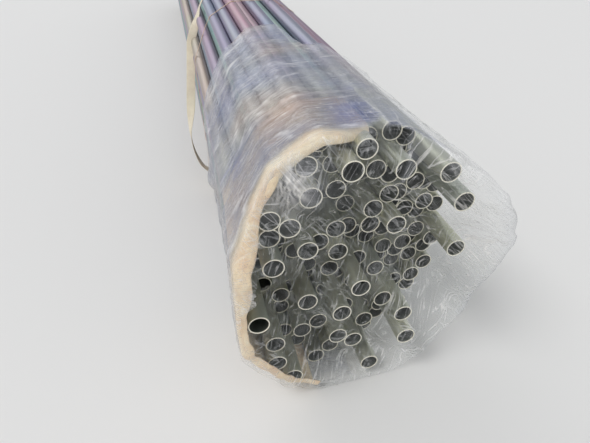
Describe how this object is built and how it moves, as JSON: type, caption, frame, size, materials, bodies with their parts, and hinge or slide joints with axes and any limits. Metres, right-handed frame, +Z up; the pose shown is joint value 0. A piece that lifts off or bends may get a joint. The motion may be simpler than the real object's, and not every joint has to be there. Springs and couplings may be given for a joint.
{
  "type": "bundle of steel pipes",
  "caption": "Long round bundle of thin-walled steel pipes, one end padded and wrapped in clear stretch film, with a slack webbing strap and a narrow tie.",
  "frame": {"origin": "on the ground under the middle of the bundle, level with the foremost pipe ends inside the film", "axes": "+Y along the pipes, away from the wrapped end; +X to the right seen from that end; +Z up"},
  "size_m": [0.3835, 3.2451, 0.4268],
  "materials": {
    "pipe_steel": "zinc plated with an iridescent passivated film",
    "padding": "soft matt felt",
    "film": "clear, crumpled and milky where many layers lie on each other",
    "webbing": "woven with fine cross ribs",
    "tie": "matt"
  },
  "bodies": {
    "root": {"pipe_column_01": "pipe_steel", "pipe_column_02": "pipe_steel", "pipe_column_03": "pipe_steel", "pipe_column_04": "pipe_steel", "pipe_column_05": "pipe_steel", "pipe_column_06": "pipe_steel", "pipe_column_07": "pipe_steel", "pipe_column_08": "pipe_steel", "pipe_column_09": "pipe_steel", "pipe_column_10": "pipe_steel", "pipe_column_11": "pipe_steel", "pipe_column_12": "pipe_steel", "pipe_column_13": "pipe_steel", "padding_sheet": "padding", "stretch_film": "film", "webbing_strap": "webbing", "tie_band": "tie"}
  },
  "joints": []
}
